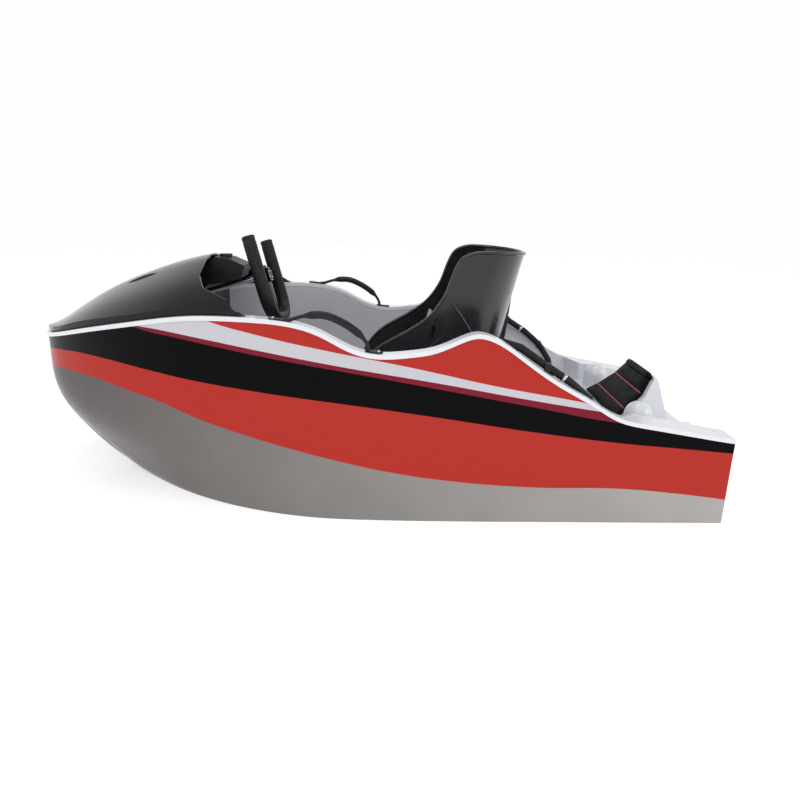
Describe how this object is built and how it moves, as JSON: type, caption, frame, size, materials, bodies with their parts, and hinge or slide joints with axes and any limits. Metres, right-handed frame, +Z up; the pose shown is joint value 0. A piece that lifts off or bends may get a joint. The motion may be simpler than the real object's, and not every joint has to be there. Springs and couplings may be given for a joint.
{
  "type": "sit-in mini jet boat",
  "caption": "Single-seat sit-in jet boat with steering wheel, bucket seat, black bow hood, grab handles, rear deck and stern jet drive.",
  "frame": {"origin": "on the floor under the middle of the flat bottom", "axes": "+X to the bow, +Y to port, +Z up"},
  "size_m": [2.4996, 1.0868, 0.9372],
  "materials": {
    "hull_paint": "gloss gelcoat with painted bands",
    "rail_white": "gloss gelcoat",
    "liner_grey": "satin gelcoat",
    "hood_black": "gloss black gelcoat",
    "seal_rubber": "matt",
    "black_plastic": "moulded, fine grain",
    "seat_plastic": "moulded, semi gloss",
    "grip_foam": "padded grip",
    "black_metal": "powder coated",
    "pad_fabric": "sewn panels",
    "hose_rubber": "satin",
    "steel": "brushed",
    "jet_alloy": "cast and machined",
    "engine_paint": "satin",
    "gauge_face": "gloss"
  },
  "bodies": {
    "boat": {"hull": "hull_paint", "gunwale": "rail_white", "cockpit_liner": "liner_grey", "rear_deck": "rail_white", "hatch_hinges": "steel", "fuel_cap": "black_plastic", "engine_block": "engine_paint", "rear_pad": "pad_fabric", "hood": "hood_black", "hood_intakes": "black_plastic", "hood_seal": "seal_rubber", "dash_panel": "black_plastic", "dash_console": "black_plastic", "dash_gauge": "gauge_face", "foot_board": "liner_grey", "throttle_pedal": "black_metal", "seat_pedestal": "liner_grey", "seat_shell": "seat_plastic", "seat_strut": "black_metal", "grab_handle_port": "grip_foam", "grab_handle_starboard": "grip_foam", "side_hose_port": "hose_rubber", "side_hose_starboard": "hose_rubber", "hose_clips_port": "steel", "hose_clips_starboard": "steel", "pump_housing": "jet_alloy", "ride_plate": "jet_alloy", "intake_grate": "steel", "stern_eye_port": "steel", "stern_eye_starboard": "steel", "drain_plug": "steel", "exhaust_outlet": "black_plastic"},
    "wheel": {"steering_column": "steel", "wheel_grip": "grip_foam", "wheel_spokes": "black_metal"},
    "hatch": {"engine_hatch": "rail_white", "hatch_latch": "black_plastic"},
    "impeller": {"impeller": "steel"},
    "nozzle": {"steering_nozzle": "jet_alloy"}
  },
  "joints": [
    {"name": "steering_turn", "type": "hinge", "parent": "boat", "child": "wheel", "pos_m": [0.385, 0, 0.78], "axis": [-0.9613, 0, 0.2756], "range_deg": [-93, 107]},
    {"name": "nozzle_swing", "type": "hinge", "parent": "boat", "child": "nozzle", "pos_m": [-1.175, 0, 0.11], "axis": [0, 0, 1], "range_deg": [-21.5, 18.7]},
    {"name": "impeller_spin", "type": "hinge", "parent": "boat", "child": "impeller", "pos_m": [-1.04, 0, 0.11], "axis": [1, 0, 0], "continuous": true},
    {"name": "hatch_lift", "type": "hinge", "parent": "boat", "child": "hatch", "pos_m": [-0.898, 0, 0.299], "axis": [0, -1, 0], "range_deg": [0, 75]}
  ],
  "couplings": [
    {"joint": "nozzle_swing", "follows": "steering_turn", "ratio": -0.2}
  ]
}
